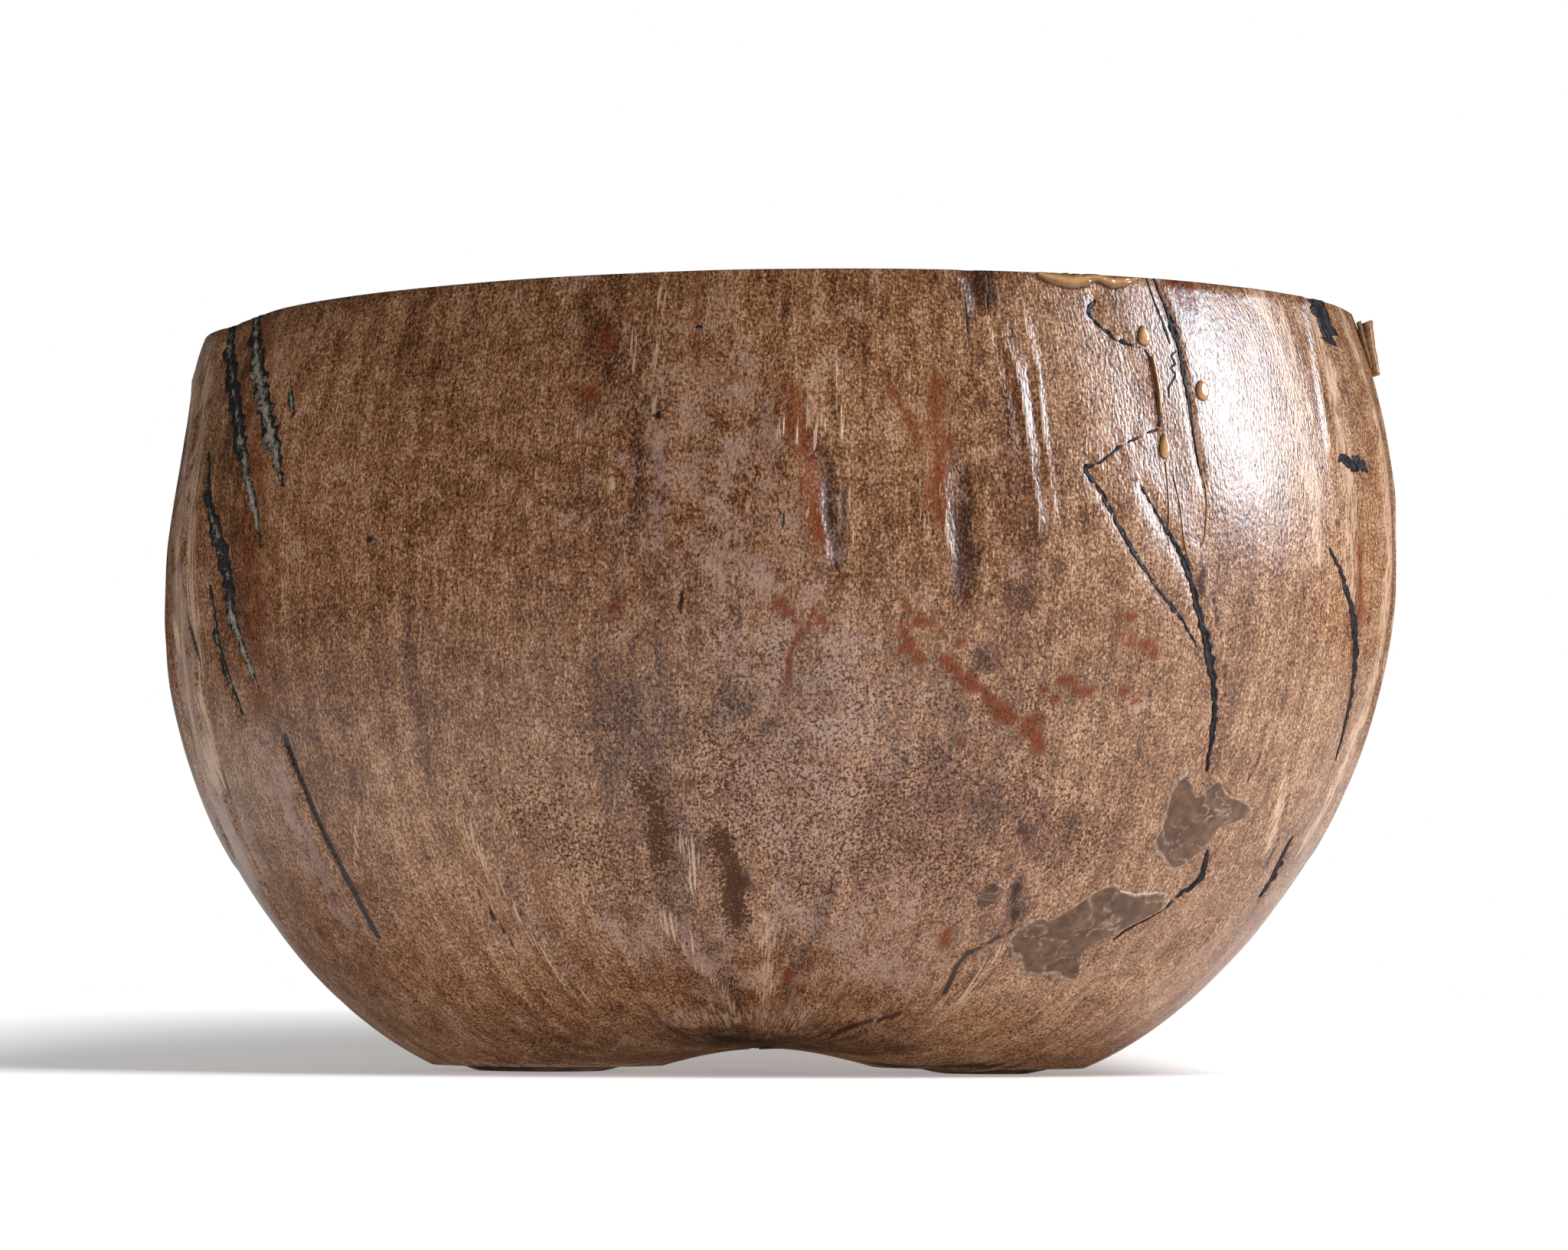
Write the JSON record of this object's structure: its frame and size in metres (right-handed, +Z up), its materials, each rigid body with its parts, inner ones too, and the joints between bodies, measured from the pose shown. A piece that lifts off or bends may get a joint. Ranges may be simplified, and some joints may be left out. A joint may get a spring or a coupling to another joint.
{
  "type": "coco de mer bowl",
  "caption": "Wide oval bowl made from a two-lobed nut shell, sawn level at the rim and standing on its lobes, with filled cracks in its brown skin.",
  "frame": {"origin": "on the table under the middle of the bowl's outline", "axes": "+Z up, +X along the long side towards the right lobe as seen from the mended side, -Y towards that side"},
  "size_m": [0.268, 0.184, 0.1635],
  "materials": {
    "hard_shell": "scraped and rubbed, satin",
    "brown_skin": "polished nut skin under clear lacquer",
    "grey_fill": "grey filler, matt",
    "pitch": "black pitch filler, glossy",
    "putty": "tan putty, satin",
    "lacquer": "set amber lacquer, glossy"
  },
  "bodies": {
    "root": {"hard_shell": "hard_shell", "brown_skin": "brown_skin", "rim_splinter": "brown_skin", "grey_fill_rim_inner": "grey_fill", "grey_fill_rim_outer": "grey_fill", "grey_fill_flank": "grey_fill", "grey_fill_flank_low": "grey_fill", "grey_fill_short": "grey_fill", "pitch_fill_rim": "pitch", "pitch_fill_hook": "pitch", "pitch_fill_bent": "pitch", "pitch_fill_long": "pitch", "pitch_fill_far_right": "pitch", "pitch_fill_by_patch": "pitch", "pitch_fill_edge": "pitch", "pitch_patch_rim": "pitch", "pitch_patch_flank": "pitch", "putty_patch_upper": "putty", "putty_patch_lower": "putty", "putty_patch_small": "putty", "lacquer_run_rim": "lacquer", "lacquer_trail": "lacquer", "lacquer_bead_upper": "lacquer", "lacquer_bead_middle": "lacquer", "lacquer_bead_lower": "lacquer"}
  },
  "joints": []
}
